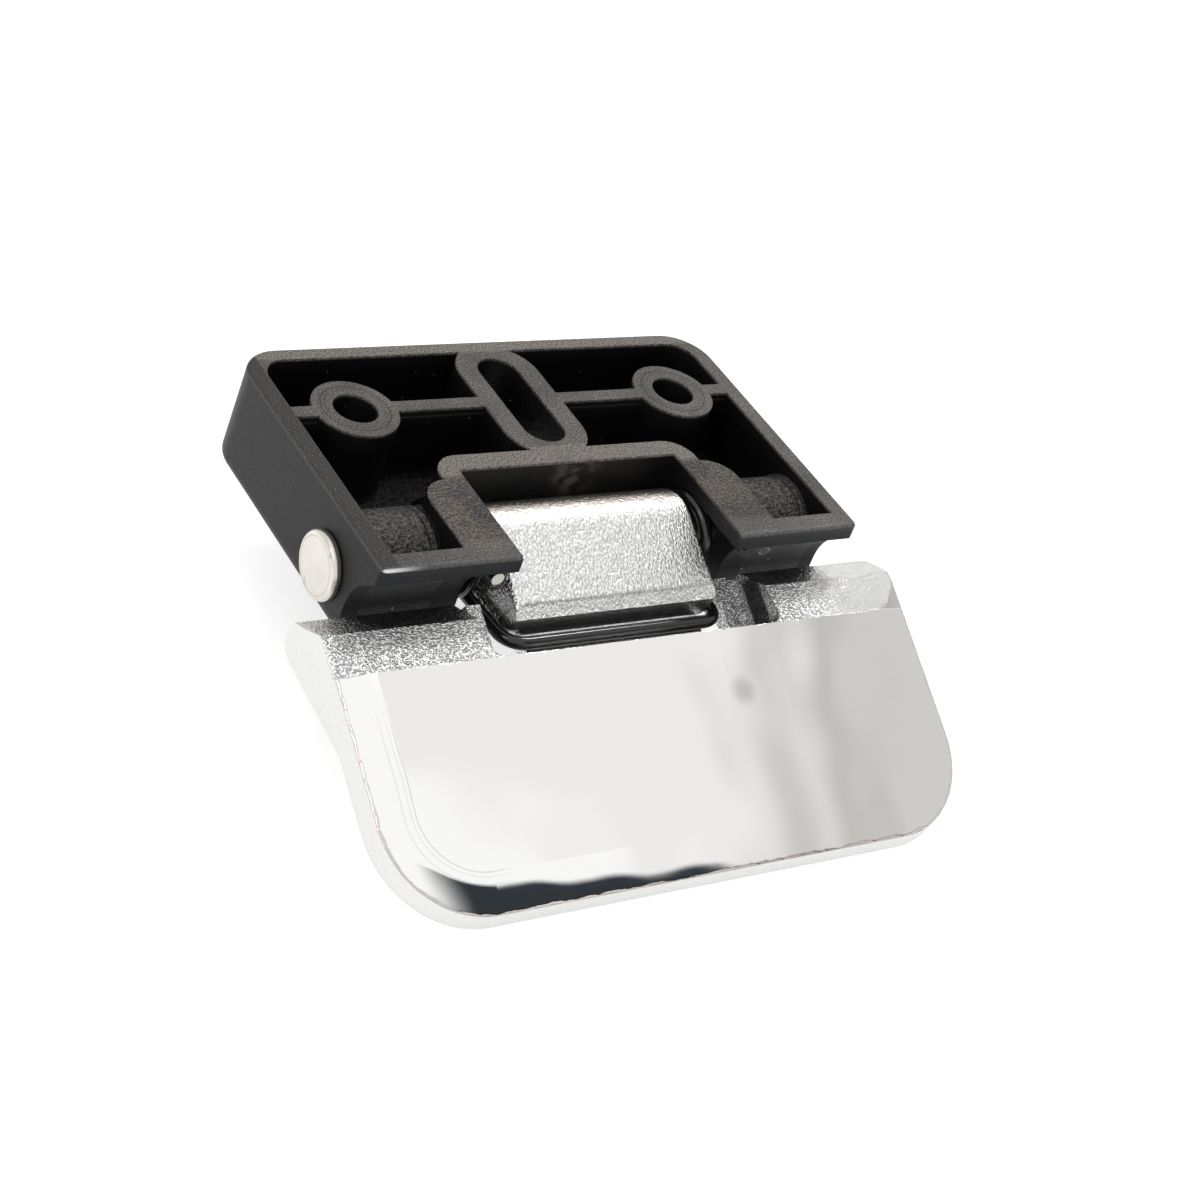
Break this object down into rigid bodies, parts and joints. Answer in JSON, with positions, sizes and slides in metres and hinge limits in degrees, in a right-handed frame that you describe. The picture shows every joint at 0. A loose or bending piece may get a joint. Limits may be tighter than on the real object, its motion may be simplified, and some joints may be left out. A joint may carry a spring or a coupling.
{
  "type": "paddle latch",
  "caption": "Spring-loaded paddle latch: a ribbed black mounting block with screw holes and a slot, and a wide polished cast paddle that swings on a headed pin.",
  "frame": {"origin": "on the ribbed mounting face, midway between the two screw holes", "axes": "+Z out of the ribbed mounting face, +Y from the paddle towards the back of the block, X along the hinge pin"},
  "size_m": [0.1108, 0.0985, 0.0328],
  "materials": {
    "moulding": "fine grained black glass-filled nylon",
    "plated_pin": "nickel plate, lightly tumbled",
    "casting": "mirror polished face, rough-cast band and knuckle, matte sides",
    "spring_wire": "dark oiled spring steel"
  },
  "bodies": {
    "block": {"mounting_block": "moulding", "hinge_pin": "plated_pin", "torsion_spring": "spring_wire"},
    "swinging_paddle": {"paddle": "casting"}
  },
  "joints": [
    {"name": "paddle_swing", "type": "hinge", "parent": "block", "child": "swinging_paddle", "pos_m": [0, -0.0245, -0.0103], "axis": [-1, 0, 0], "range_deg": [0, 23], "stiffness_Nm_per_rad": 0.6, "springref_deg": -20.05, "deforming": ["torsion_spring"]}
  ]
}
